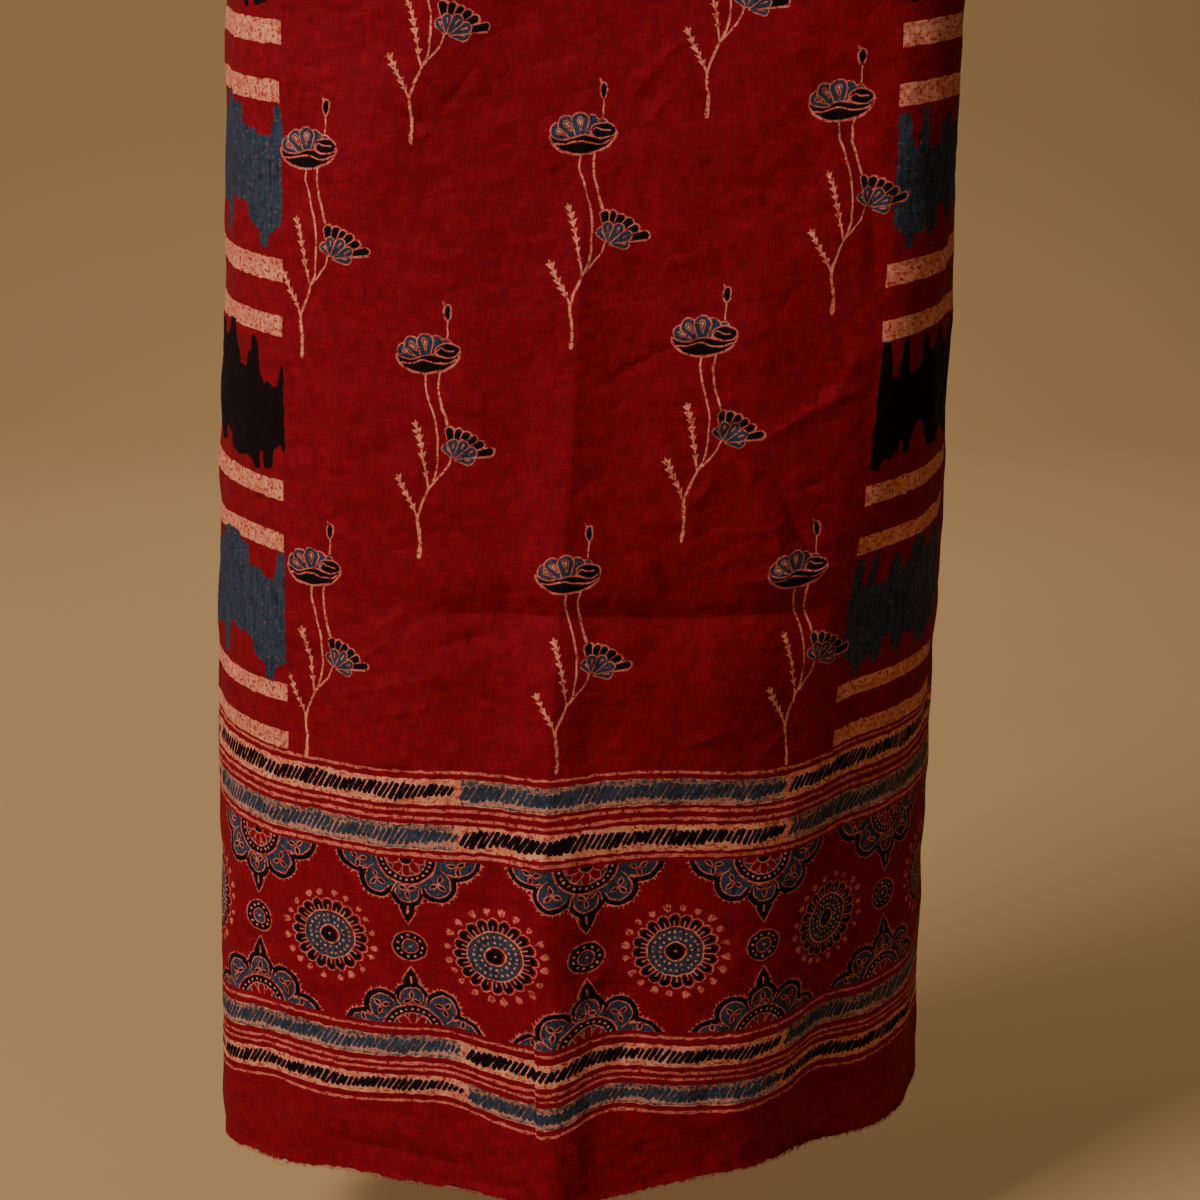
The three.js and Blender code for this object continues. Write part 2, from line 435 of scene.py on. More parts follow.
def crease_rise(grid_across, grid_up):
    """Rise of every sharp crease: steepest at its line and dying away on both sides."""
    total = np.zeros_like(grid_across)
    columns = grid_across[0]
    rows = grid_up[:, 0]
    for crease in all_creases():
        points = np.array(crease["points"], float)
        half = crease["half"]
        left, right = np.searchsorted(columns, (points[:, 0].min() - half, points[:, 0].max() + half))
        low, high = np.searchsorted(rows, (points[:, 1].min() - half, points[:, 1].max() + half))
        across = grid_across[low:high, left:right]
        up = grid_up[low:high, left:right]
        nearest = np.full_like(across, np.inf)
        travelled = np.zeros_like(across)
        passed = 0.0
        for first, second in zip(points[:-1], points[1:]):
            run = second - first
            length = math.hypot(*run)
            run = run / length
            along = np.clip((across - first[0]) * run[0] + (up - first[1]) * run[1], 0, length)
            gap = np.hypot(across - first[0] - along * run[0], up - first[1] - along * run[1])
            closer = gap < nearest
            nearest = np.where(closer, gap, nearest)
            travelled = np.where(closer, passed + along, travelled)
            passed += length
        ends = smooth(np.minimum(travelled, passed - travelled) / crease["fade"])
        tent = np.clip(1 - np.sqrt(nearest ** 2 + CREASE_SOFT) / half, 0, None)
        total[low:high, left:right] += crease["rise"] * tent ** CREASE_POWER * ends
    return total


def crease_points(spacing, sides):
    """Extra mesh points along every crease, close to its line and out to the sides, and along the pleat."""
    points = []
    for crease in all_creases():
        corners = np.array(crease["points"], float)
        outs = [-CREASE_NEAR, CREASE_NEAR] + [side * crease["half"] for side in sides]
        for first, second in zip(corners[:-1], corners[1:]):
            run = second - first
            length = math.hypot(*run)
            aside = np.array((-run[1], run[0])) / length
            for along in np.arange(0, length, spacing):
                for out in outs:
                    points.append(tuple(first + run * along / length + aside * out))
    for up in np.arange(PLEAT_POINTS_FROM, PLEAT["gone_by"], spacing):
        for out in PLEAT_POINTS:
            points.append((PLEAT["left"] + out, up))
    return points


def pleat_shares(across, up):
    """The share of the pleat that is left past its ridge, and the share left up towards the field."""
    fall = 1 - smooth((across - PLEAT["ridge"]) / (PLEAT["fall_to"] - PLEAT["ridge"]))
    return fall, 1 - smooth((up - PLEAT["full_to"]) / (PLEAT["gone_by"] - PLEAT["full_to"]))


def pleat_rise(across, up):
    past_left = across - PLEAT["left"]
    step = PLEAT["step"] * smooth(past_left / PLEAT["steep"])
    climb = np.clip(past_left / (PLEAT["ridge"] - PLEAT["left"]), 0, 1)
    slope = (PLEAT["rise"] - PLEAT["step"]) * climb
    fall, share = pleat_shares(across, up)
    return (step + slope) * fall * share


def pleat_slip(across, up):
    """How far the print drops where it crosses the pleat."""
    fall, share = pleat_shares(across, up)
    return PLEAT["slip"] * (across > PLEAT["left"]) * fall * share


def section_line(values):
    """Plan points and outward normals of one section, from left edge to right edge."""
    step = GRID_ACROSS
    reach = np.arange(int(HALF_WIDTH / step) + 1) * step
    knots = len(KNOTS)
    sides = []
    for side, turns in ((-1, values[1:1 + knots]), (1, values[1 + knots:])):
        here = np.radians(np.interp(reach, KNOTS, turns))
        halfway = np.radians(np.interp(reach[:-1] + step / 2, KNOTS, turns))
        x = values[0] + side * np.concatenate(([0], np.cumsum(np.cos(halfway)) * step))
        y = np.concatenate(([0], np.cumsum(np.sin(halfway)) * step))
        sides.append(np.stack((x, y, side * np.sin(here), -np.cos(here)), axis=1))
    return np.concatenate((sides[0][::-1], sides[1][1:]))


def cloth_grid():
    """Points and normals of the printed face on a fine grid, in millimetres, rows from the hem up."""
    across = np.arange(-HALF_WIDTH, HALF_WIDTH + GRID_ACROSS / 2, GRID_ACROSS)
    up = np.arange(0, DROP + GRID_UP / 2, GRID_UP)
    table = [(row["middle"],) + row["left"] + row["right"] for row in SECTIONS]
    values = curve_through([row["height"] for row in SECTIONS], table, up)
    lines = np.array([section_line(row) for row in values])
    grid_across, grid_up = np.meshgrid(across, up)
    crumple = Waves(CRUMPLE_SEED, **CRUMPLE).at(grid_across, grid_up)
    rise = fold_rise(grid_across, grid_up) + crease_rise(grid_across, grid_up)
    curl = HEM_CURL["rise"] * (1 - smooth(grid_up / HEM_CURL["over"]))
    sway = HEM_CURL["even"] + HEM_CURL["sway"] * np.sin(grid_across / HEM_CURL["sway_length"])
    rise += pleat_rise(grid_across, grid_up) + crumple + curl * sway
    drop = table_curve(HEM_DROPS, grid_across.ravel()).reshape(grid_across.shape)
    drop *= 1 - smooth(grid_up / HEM_UNEVEN_REACH)
    points = np.empty(grid_across.shape + (3,))
    points[..., 0] = lines[..., 0] + lines[..., 2] * rise
    points[..., 1] = lines[..., 1] + lines[..., 3] * rise
    points[..., 2] = grid_up - DROP - drop
    return points, unit(np.cross(np.gradient(points, axis=1), np.gradient(points, axis=0)))


def sample(grid, across, up):
    """Values of a grid at any places on the cloth."""
    rows, columns = grid.shape[:2]
    column = np.clip((across + HALF_WIDTH) / GRID_ACROSS, 0, columns - 1.001)
    row = np.clip(up / GRID_UP, 0, rows - 1.001)
    left = column.astype(int)
    low = row.astype(int)
    share_across = (column - left)[:, None]
    share_up = (row - low)[:, None]
    below = grid[low, left] * (1 - share_across) + grid[low, left + 1] * share_across
    above = grid[low + 1, left] * (1 - share_across) + grid[low + 1, left + 1] * share_across
    return below * (1 - share_up) + above * share_up


def sample_one(grid, across, up):
    return sample(grid, np.array([across]), np.array([up]))[0]


# Outlines for the print

PETAL_LEAST = 0.1
STROKE_END = 0.7


def ellipse(middle, wide, high, count):
    angles = np.arange(count) * 2 * math.pi / count
    return np.stack((middle[0] + wide * np.cos(angles), middle[1] + high * np.sin(angles)), axis=1)


def disc(middle, radius, count):
    return ellipse(middle, radius, radius, count)


def round_spot(angle, wide, high):
    return wide * math.cos(angle), high * math.sin(angle)


def turned(shape, middle, size, heading):
    """A small table of points along and across a heading (degrees), at a middle and a size."""
    angle = math.radians(heading)
    along = np.array([point[0] for point in shape]) * size
    aside = np.array([point[1] for point in shape]) * size
    x = middle[0] + along * math.cos(angle) - aside * math.sin(angle)
    y = middle[1] + along * math.sin(angle) + aside * math.cos(angle)
    return np.stack((x, y), axis=1)


def petal(base, heading, start, end, width, round_points=7, waist=0.45):
    """A drop-shaped petal that leaves base along heading (degrees), narrow at start and round at end."""
    half = width / 2
    shoulder = max(end - half, start + PETAL_LEAST)
    turns = np.linspace(-math.pi / 2, math.pi / 2, round_points)
    along = np.concatenate(([start], shoulder + (end - shoulder) * np.cos(turns), [start]))
    aside = np.concatenate(([-half * waist], half * np.sin(turns), [half * waist]))
    return turned(np.stack((along, aside), axis=1), base, 1.0, heading)


def ribbon(points, width, end_width, steps=3):
    """A stroke along a smooth curve through the points, from one width to another."""
    points = np.asarray(points, float)
    gaps = np.hypot(*np.diff(points, axis=0).T)
    places = np.concatenate(([0], np.cumsum(gaps)))
    fine = places
    line = points
    if len(points) > 2:
        fine = np.interp(np.arange((len(points) - 1) * steps + 1) / steps, np.arange(len(points)), places)
        line = curve_through(places, points, fine)
    run = unit(np.gradient(line, axis=0))
    widths = np.interp(fine, (0, places[-1]), (width, end_width)) / 2
    aside = np.stack((-run[:, 1], run[:, 0]), axis=1) * widths[:, None]
    start = line[0] - run[0] * widths[0] * STROKE_END
    end = line[-1] + run[-1] * widths[-1] * STROKE_END
    return np.concatenate(([start], line - aside, [end], (line + aside)[::-1]))


def closed_curve(points, steps=2):
    """A smooth closed outline through a few points."""
    ring = np.array(list(points[-2:]) + list(points) + list(points[:3]), float)
    places = np.arange(len(ring), dtype=float)
    at = 2 + np.arange(len(points) * steps) / steps
    return curve_through(places, ring, at)


def twice_area(outline):
    x, y = outline.T
    return np.dot(x, np.roll(y, -1)) - np.dot(y, np.roll(x, -1))


def inset(outline, gap):
    """The same outline drawn in by a gap."""
    ahead = unit(np.roll(outline, -1, axis=0) - outline, NEARLY_NOTHING)
    behind = np.roll(ahead, 1, axis=0)
    inward = np.stack((-ahead[:, 1] - behind[:, 1], ahead[:, 0] + behind[:, 0]), axis=1)
    return outline + unit(inward, NEARLY_NOTHING) * gap * np.sign(twice_area(outline))


def roughen(outline, pitch=2.5, height=0.5):
    """Break an outline's straight edges into short uneven steps."""
    points = []
    for first, second in zip(outline, np.roll(outline, -1, axis=0)):
        run = second - first
        steps = max(1, int(math.hypot(*run) / pitch))
        for count in range(steps):
            jog = (vary(-height, height), vary(-height, height)) if count else (0, 0)
            points.append(first + run * count / steps + jog)
    return np.array(points)


def strip(left, right, top, bottom, pitch=5.0, ragged=0.0):
    """A level strip with points along both edges, and a pair of points at the pleat's step."""
    count = max(2, int((right - left) / pitch) + 1)
    x = np.linspace(left, right, count)
    if left < PLEAT["left"] < right:
        x = np.sort(np.append(x, (PLEAT["left"] - PLEAT_GAP, PLEAT["left"] + PLEAT_GAP)))
    rough = np.array([vary(-ragged, ragged) for _ in range(2 * len(x))])
    upper = np.stack((x, top + rough[:len(x)]), axis=1)
    lower = np.stack((x, bottom + rough[len(x):]), axis=1)
    return np.concatenate((lower, upper[::-1]))


def mirrored(half):
    """A small shape from its left half, which ends at the tip."""
    return half + tuple((along, -aside) for along, aside in half[-2::-1])


# Small shapes as points along and across their heading
EAR = mirrored(((-1.3, 0.22), (0.25, 1.0), (0.15, 0.32), (0.9, 0.0)))
LEAF = mirrored(((0.02, 0.04), (0.3, 0.27), (0.62, 0.26), (1.0, 0.0)))
SPIKE = mirrored(((-0.6, 0.75), (1.0, 0.0)))
SPEAR = mirrored(((0.0, 0.5), (0.3, 0.47), (0.6, 0.3), (0.85, 0.12), (1.0, 0.0)))
CROWN = (
    (-1.15, 0.2), (-0.75, 0.75), (0.15, 1.0), (0.8, 0.85), (0.55, 0.35), (1.1, 0.0), (0.5, -0.4),
    (0.85, -0.9), (0.1, -0.95), (-0.8, -0.7), (-1.15, -0.2),
)


# Motifs: each is a list of dye and outline, later ones printed over earlier ones

LINE = 0.75


def edged(outline, dye, gap=LINE):
    """A shape with a rose line round it: the whole outline, then the same in its dye, drawn in by a gap."""
    return [("rose", outline), (dye, inset(outline, gap))]


# Sprig, measured from the foot of its stem: stems with their widths, and stalks of ears
SPRIG_FOOT = dict(middle=(0, 2.6), wide=1.1, high=3.0, count=10)
SPRIG_STEMS = (
    dict(width=1.75, end=1.1, points=((0, 1), (0.3, 6.4), (0.1, 12), (-1.1, 21), (0.3, 26.4), (4.3, 36.4))),
    dict(width=1.05, end=0.95, points=(
        (4.3, 36.4), (7.3, 42.4), (8.5, 53), (7.6, 67), (3.8, 80.4), (1.4, 89), (1.8, 96))),
    dict(width=0.9, end=0.8, points=((5.6, 38), (9.8, 42.8), (13.6, 48), (15.3, 54))),
    dict(width=0.95, end=1.3, points=((8.8, 96), (8.0, 90.5), (9.2, 81.5), (13.0, 69.0))),
    dict(width=0.75, end=0.75, points=((11.8, 113.0), (12.0, 118), (11.8, 122))),
)
EAR_STALKS = (
    dict(ears=7, first=0.22, points=((4.3, 36.7), (2.6, 46), (0.6, 55.4), (-1.2, 63.4), (-3.4, 70.0))),
    dict(ears=5, first=0.34, points=((-1.2, 21.4), (-3.7, 27.4), (-7.7, 34.4), (-11.4, 42.0))),
)
EAR_STALK = dict(width=1.0, end_width=0.8, steps=2)
EAR_SIZE = 2.0
EAR_NEAR = 0.05

# Side flower: heading and length of its dark petals and of the short blue ones in front
FAN_BASE = (16.4, 52.2)
FAN_DARK = ((98, 16.8), (80, 16.4), (62, 16.2), (45, 16.8), (28, 17.8), (11, 21.2))
FAN_PALE = ((-4, 11.0), (122, 9.2), (20, 12.6), (92, 10.6), (54, 11.6))

# Flower head: heading, length and width of its petals, the drops in them, the dark bowl and its lines
HEAD_BASE = (1.5, 101.0)
HEAD_PETALS = ((40, 16.4, 6.6), (154, 16.4, 9.0), (63, 14.6, 9.6), (130, 15.6, 9.2), (93, 14.6, 9.6))
HEAD_DROPS = ((154, 11.4), (130, 11.2), (93, 10.2))
HEAD_BOWL = (
    (-14.0, 104.4), (-9.5, 102.4), (-4, 102.6), (1, 104.6), (6, 104.4), (11, 103.2), (15.5, 104.0),
    (18.6, 106.4), (18.0, 102.8), (15.4, 99.4), (10.5, 96.6), (4, 95.1), (-2, 95.0), (-7.5, 96.4),
    (-12.2, 99.8),
)
BOWL_LINE = ((-11.8, 99.9), (-6, 100.0), (0.5, 101.6), (7, 100.3), (12.5, 100.3), (16.8, 102.4))
HEAD_CURL = dict(middle=(12.2, 106.6), wide=6.6, high=4.1, count=16)
CURL_LINE = ((5.4, 104.2), (8.4, 107.8), (11.0, 106.8), (15.4, 106.6))
BUD = dict(middle=(11.9, 125.6), wide=2.3, high=4.4, count=14)
BUD_TIP = ((11.9, 127), (9.6, 131))


def side_flower():
    shapes = []
    for heading, length in FAN_DARK:
        shapes.append(("rose", petal(FAN_BASE, heading, 2.0, length, 5.6, 6, 0.3)))
        shapes.append(("black", petal(FAN_BASE, heading + 1, 4.0, length - 0.9, 3.7, 6, 0.55)))
    for heading, length in FAN_PALE:
        shapes += edged(petal(FAN_BASE, heading, 0.6, length, 6.2, 6, 0.3), "blue", 0.6)
        shapes.append(("rose", petal(FAN_BASE, heading, length - 5.4, length - 2.2, 0.9, 4, 0.4)))
    return shapes


def flower_head():
    bowl = closed_curve(HEAD_BOWL)
    shapes = [("rose", inset(bowl, -0.5))]
    for heading, length, width in HEAD_PETALS:
        shapes += edged(petal(HEAD_BASE, heading, 2.0, length, width), "blue")
    for heading, length in HEAD_DROPS:
        shapes += edged(petal(HEAD_BASE, heading, length - 4.6, length + 2.0, 3.4, 5, 0.2), "blue", 0.55)
        shapes.append(("cream", petal(HEAD_BASE, heading, length - 2.2, length + 0.9, 1.3, 4, 0.3)))
    shapes += edged(bowl, "red", 0.6)
    shapes.append(("black", inset(bowl, 0.85)))
    shapes.append(("rose", ribbon(BOWL_LINE, 0.85, 0.8)))
    shapes += edged(ellipse(**HEAD_CURL), "black")
    shapes.append(("rose", ribbon(CURL_LINE, 0.8, 0.7)))
    shapes.append(("rose", ribbon(BUD_TIP, 2.4, 0.6)))
    return shapes + edged(ellipse(**BUD), "black", 0.85)


def sprig():
    shapes = [("cream", ellipse(**SPRIG_FOOT))]
    for stem in SPRIG_STEMS:
        shapes.append(("cream", ribbon(stem["points"], stem["width"], stem["end"])))
    for stalk in EAR_STALKS:
        shapes.append(("cream", ribbon(stalk["points"], **EAR_STALK)))
        places = np.linspace(0, 1, len(stalk["points"]))
        for count in range(stalk["ears"]):
            share = stalk["first"] + (1.0 - stalk["first"]) * count / (stalk["ears"] - 1)
            near = (share - EAR_NEAR, share, min(share + EAR_NEAR, 1))
            behind, middle, ahead = curve_through(places, stalk["points"], near)
            heading = math.degrees(math.atan2(ahead[1] - behind[1], ahead[0] - behind[0]))
            size = EAR_SIZE * (0.8 + 0.3 * share) * vary(0.85, 1.15)
            shapes.append(("cream", turned(EAR, middle, size, heading + vary(-7, 7))))
    return shapes + side_flower() + flower_head()


# Round motif: its petals as dye, start, end, width, points and waist, then its discs and rings of dots
MEDALLION_PETALS = 20
PETAL_LINES = (("rose", 14.6, 23.6, 7.0, 7, 0.70), ("red", 15.2, 22.8, 5.9, 6, 0.64))
PETAL_FILL = (15.4, 22.1, 5.1, 6, 0.66)
PETAL_VEIN = (14.8, 19.0, 1.0, 4, 0.8)
CROWN_TURN = 9
CROWN_REACH = 26.9
CROWN_STALK = 24.4
CROWN_SIZE = 1.9
MEDALLION_DISCS = (("cream", 15.5), ("red", 14.7))
MEDALLION_FILL = 14.5
MEDALLION_DOTS = ((12.0, 24), (8.4, 16))
MEDALLION_EYE = (("cream", 6.2), ("red", 5.35))


def medallion(shift):
    shapes = []
    middle = (0, 0)
    turns = [360 * count / MEDALLION_PETALS for count in range(MEDALLION_PETALS)]
    for turn in turns:
        heading = CROWN_TURN + turn + vary(-3, 3)
        angle = math.radians(heading)
        reach = CROWN_REACH + vary(-0.6, 0.8)
        spot = round_spot(angle, reach, reach)
        shapes.append(("rose", ribbon((round_spot(angle, CROWN_STALK, CROWN_STALK), spot), 0.5, 0.4)))
        size = CROWN_SIZE + vary(-0.3, 0.3)
        shapes.append(("rose", turned(CROWN, spot, size, heading + vary(-20, 20))))
    for dye, *sizes in PETAL_LINES:
        shapes += [(dye, petal(middle, turn, *sizes)) for turn in turns]
    for turn in turns:
        shapes.append(("black", petal(shift, turn, *PETAL_FILL)))
        shapes.append(("rose", petal(middle, turn + vary(-2, 2), *PETAL_VEIN)))
    shapes += [(dye, disc(middle, radius, 32)) for dye, radius in MEDALLION_DISCS]
    shapes.append(("blue", disc((shift[0] * 1.3, shift[1] * 1.3), MEDALLION_FILL, 32)))
    for radius, dots in MEDALLION_DOTS:
        for count in range(dots):
            angle = 2 * math.pi * (count + vary(-0.12, 0.12)) / dots
            reach = radius + vary(-0.2, 0.2)
            shapes.append(("cream", ellipse(round_spot(angle, reach, reach), 0.75, 0.82, 6)))
    shapes += [(dye, disc(middle, radius, 18)) for dye, radius in MEDALLION_EYE]
    shapes.append(("black", ellipse(shift, 4.6, 4.7, 16)))
    shapes.append(("cream", ellipse(middle, 0.75, 0.7, 6)))
    return shapes


# Small roundel between the round motifs
ROUNDEL_OUTER = (("rose", 10.4), ("red", 9.7))
ROUNDEL_FILL = 9.2
ROUNDEL_INNER = (("rose", 5.1), ("red", 4.4), ("blue", 3.9))
ROUNDEL_DOTS = 11
ROUNDEL_DOTS_REACH = 7.1


def roundel():
    middle = (0, 0)
    shift = (vary(-0.3, 0.1), vary(-0.2, 0.2))
    shapes = [(dye, disc(middle, radius, 22)) for dye, radius in ROUNDEL_OUTER]
    shapes.append(("black", disc(shift, ROUNDEL_FILL, 22)))
    shapes += [(dye, disc(middle, radius, 14)) for dye, radius in ROUNDEL_INNER]
    for count in range(ROUNDEL_DOTS):
        angle = 2 * math.pi * (count + vary(-0.12, 0.12)) / ROUNDEL_DOTS
        spot = round_spot(angle, ROUNDEL_DOTS_REACH, ROUNDEL_DOTS_REACH)
        shapes.append(("cream", ellipse(spot, 0.8, 0.9, 6)))
    shapes.append(("cream", disc((0.2, 0.1), 0.9, 6)))
    return shapes


# Half lotus, growing up from its base line: middle and radius of each lobe, the leaves in it as middle and
# heading, and the left ribs. Its rings have half width, half height and points.
LOBES = ((-28.0, -1.8, 13.2), (28.0, -1.5, 13.4), (-17.0, 13.6, 10.6), (17.2, 14.4, 10.6), (0, 19.4, 9.7))
LOBE_LEAVES = ((-28.0, 3.4, 100), (28.0, 3.6, 80), (-17.4, 13.6, 140), (17.6, 14.2, 40), (0, 18.6, 90))
LOBE_RIBS = (((-26.0, 9.4), (-22.5, 8.2), (-19.0, 5.4)), ((-8.8, 20.6), (-8.0, 17.5), (-6.0, 14.6)))
LEAF_TURNS = (0, 112, -112)
LEAF_SIZE = 6.0
SPIKE_GAP = 2.7
BASE_CUT = -3.0
LOTUS_TIP = dict(middle=(0, 26.0), size=13.4, narrow=(0.88, 1.0))
LOTUS_TIP_FILL = dict(up=26.2, size=11.8, narrow=(0.76, 1.0))
LOTUS_TIP_VEIN = dict(base=(0, 25.6), start=2.6, end=7.4, width=1.4, round_points=4, waist=0.8)
LOTUS_MIDDLE = dict(middle=(0, 2), wide=24.5, high=16.5, count=28)
LOTUS_COLLAR = (("rose", 17.6, 15.9, 30), ("red", 16.7, 15.0, 30), ("black", 16.2, 14.6, 30))
LOTUS_DOTS = 26
LOTUS_DOTS_REACH = (13.9, 12.6)
LOTUS_WHEEL = (("rose", 11.9, 10.8, 24), ("blue", 11.1, 10.0, 24))
LOTUS_SPOKES = (8, 49, 90, 131, 172)
LOTUS_HUB = (("rose", 4.4, 4.4 * 0.9, 14), ("black", 3.6, 3.6 * 0.9, 14))


def above_base(outline):
    return outline[outline[:, 1] > BASE_CUT]


def lotus_lobes(dye, grow, count, shift=(0, 0)):
    shapes = []
    for across, up, radius in LOBES:
        middle = (across + shift[0], up + shift[1])
        shapes.append((dye, above_base(disc(middle, radius + grow, count))))
    return shapes


def lotus_rings(rows):
    return [(dye, above_base(ellipse((0, 0), wide, high, count))) for dye, wide, high, count in rows]


def lotus_spikes(across, up, radius):
    """Small spikes round one lobe, where no other lobe covers them."""
    shapes = []
    spikes = int(2 * math.pi * radius / SPIKE_GAP)
    for count in range(spikes):
        heading = 360 * (count + vary(-0.25, 0.25)) / spikes
        angle = math.radians(heading)
        reach = radius + 0.9
        spot = (across + reach * math.cos(angle), up + reach * math.sin(angle))
        covered = any(math.hypot(spot[0] - x, spot[1] - y) < r for x, y, r in LOBES)
        if spot[1] > 0 and not covered:
            size = 1.0 + vary(-0.25, 0.35)
            shapes.append(("rose", turned(SPIKE, spot, size, heading + vary(-25, 25))))
    return shapes


def half_lotus(shift):
    tip = turned(SPEAR, LOTUS_TIP["middle"], LOTUS_TIP["size"], 90) * LOTUS_TIP["narrow"]
    shapes = edged(tip, "red")
    for lobe, ring in zip(LOBES, lotus_lobes("rose", 0.55, 30)):
        shapes.append(ring)
        shapes += lotus_spikes(*lobe)
    shapes += lotus_lobes("black", 0.1, 28, shift)
    fill_middle = (shift[0], LOTUS_TIP_FILL["up"] + shift[1])
    fill = turned(SPEAR, fill_middle, LOTUS_TIP_FILL["size"], 90) * LOTUS_TIP_FILL["narrow"]
    shapes.append(("black", fill))
    shapes.append(("rose", petal(heading=90, **LOTUS_TIP_VEIN)))
    shapes += lotus_lobes("rose", -2.7, 26) + lotus_lobes("blue", -3.45, 26)
    shapes.append(("blue", above_base(ellipse(**LOTUS_MIDDLE))))
    for rib in LOBE_RIBS:
        shapes.append(("rose", ribbon(rib, 0.9, 0.6, 2)))
        shapes.append(("rose", ribbon([(-x, y) for x, y in rib], 0.9, 0.6, 2)))
    for across, up, heading in LOBE_LEAVES:
        for turn in LEAF_TURNS:
            shapes += edged(turned(LEAF, (across, up), LEAF_SIZE, heading + turn), "black")
    shapes += lotus_rings(LOTUS_COLLAR)
    for count in range(LOTUS_DOTS):
        spot = round_spot(2 * math.pi * (count + 0.5) / LOTUS_DOTS, *LOTUS_DOTS_REACH)
        if spot[1] > 0:
            shapes.append(("cream", disc(spot, 0.8, 6)))
    shapes += lotus_rings(LOTUS_WHEEL)
    for heading in LOTUS_SPOKES:
        shapes += edged(petal((0, 0), heading, 3.6, 10.9, 5.2, 5, 0.72), "red", 0.6)
    return shapes + lotus_rings(LOTUS_HUB)


# Laying the print out on the cloth


class Print:
    """Outlines on the flat cloth, each with its dye, in the order in which they are printed."""

    def __init__(self):
        self.shapes = []
        self.wobble_across, self.wobble_up = (Waves(seed, **WOBBLE) for seed in WOBBLE_SEEDS)

    def add(self, dye, outline):
        across = outline[:, 0]
        up = outline[:, 1]
        edge = HALF_WIDTH - EDGE_BARE
        if across.min() > edge or across.max() < -edge:
            return
        moved = up - pleat_slip(across, up)
        for table, shares in ((DRIFT, DRIFT_SHARES), (DRIFT_UPPER, DRIFT_UPPER_SHARES)):
            moved = moved + table_curve(table, across) * table_line(shares, up)
        for past_end, climb in ((BAR_END_LEFT - across, CLIMB_LEFT), (across - BAR_END_RIGHT, CLIMB_RIGHT)):
            out = np.clip(past_end, 0, CLIMB_STOPS)
            moved = moved + out * (1 - 0.5 * out / CLIMB_STOPS) * table_line(climb, up)
        wobbled_across = np.clip(across + self.wobble_across.at(across, up), -edge, edge)
        wobbled_up = np.clip(moved + self.wobble_up.at(across, up), EDGE_BARE, DROP - EDGE_BARE)
        self.shapes.append((dye, np.stack((wobbled_across, wobbled_up), axis=1)))

    def stamp(self, shapes, across, up, turn=0.0, shrink=1.0):
        """Print a motif at a place, turned to the right by degrees; a negative shrink turns it over."""
        angle = math.radians(-turn)
        for dye, outline in shapes:
            x = outline[:, 0]
            y = outline[:, 1] * shrink
            turned_x = x * math.cos(angle) - y * math.sin(angle)
            turned_y = x * math.sin(angle) + y * math.cos(angle)
            self.add(dye, np.stack((across + turned_x, up + turned_y), axis=1))


def print_round_row(sheet):
    for count in range(MEDALLION_COUNT):
        across = MEDALLION_FIRST + count * MEDALLION_PITCH
        shift = (-0.35 + vary(-0.2, 0.2), -0.2 + vary(-0.25, 0.15))
        sheet.stamp(medallion(shift), across, ROW_UP, vary(-4, 4), MEDALLION_SHRINK)
        middle = across + MEDALLION_PITCH / 2
        sheet.stamp(roundel(), middle, ROW_UP - ROUNDEL_DROP, vary(-8, 8), ROUNDEL_SHRINK)
        lotus_shift = (vary(-0.4, 0.4), vary(-0.3, 0.3))
        sheet.stamp(half_lotus(lotus_shift), middle, LOTUS_TOP, 0, -LOTUS_SHRINK)
        sheet.stamp(half_lotus(lotus_shift), middle, LOTUS_BOTTOM, 0, LOTUS_SHRINK)


def hatch(sheet, left, right, top, bottom, dye):
    """Slanted strokes along a band, a little uneven, that shrink towards the block's right end."""
    rise, rise_length = STROKES_RISE
    across = left + STROKES_START
    while across < right - STROKES_STOP:
        near_end = min(1.0, (right - across) / STROKES_TAPER)
        swell = SWELL_LEVEL
        for height, length in SWELLS:
            swell += height * math.sin(across / length)
        size = (0.5 + 0.5 * near_end) * swell * vary(0.9, 1.07)
        middle = (top + bottom) / 2 + rise * math.sin(across / rise_length) + vary(-0.2, 0.2)
        half = (top - bottom) / 2 * size - STROKE_WIDTH / 3
        lean = STROKE_LEAN * half / (top - bottom) * 2 * vary(0.86, 1.14)
        width = STROKE_WIDTH * vary(0.85, 1.15)
        points = ((across - lean / 2, middle - half), (across + lean / 2, middle + half))
        sheet.add(dye, ribbon(points, width, width * vary(0.88, 1.15)))
        across += STROKE_PITCH * vary(0.94, 1.06)


def smear(sheet, left, right, top, bottom):
    """Worn, smeared patches along a band."""
    across = left
    while across < right - SMEAR["least"]:
        end = min(across + vary(*SMEAR["length"]), right)
        upper = top - vary(0, 1)
        lower = bottom + vary(0, 1)
        patch = strip(across, end, upper, lower, SMEAR["pitch"], SMEAR["ragged"])
        sheet.add("haze", roughen(patch, **SMEAR_EDGE))
        across = end + vary(*SMEAR["gap"])


def wear(sheet, left, right, top, bottom, bare_above):
    """Thin dye under the blue strokes: a veil over the band, and a worn line at its top and bottom."""
    rows = (
        ("veil", VEIL, top - VEIL["above"], bottom + VEIL["below"]),
        ("haze", WORN_TOP, top - WORN_TOP["above"], top - bare_above * WORN_TOP["depth"]),
        ("haze", WORN_BOTTOM, bottom + WORN_BOTTOM["above"], bottom + WORN_BOTTOM["below"]),
    )
    for dye, look, upper, lower in rows:
        patch = strip(left, right - look["stops"], upper, lower, look["pitch"], look["ragged"])
        sheet.add(dye, patch)


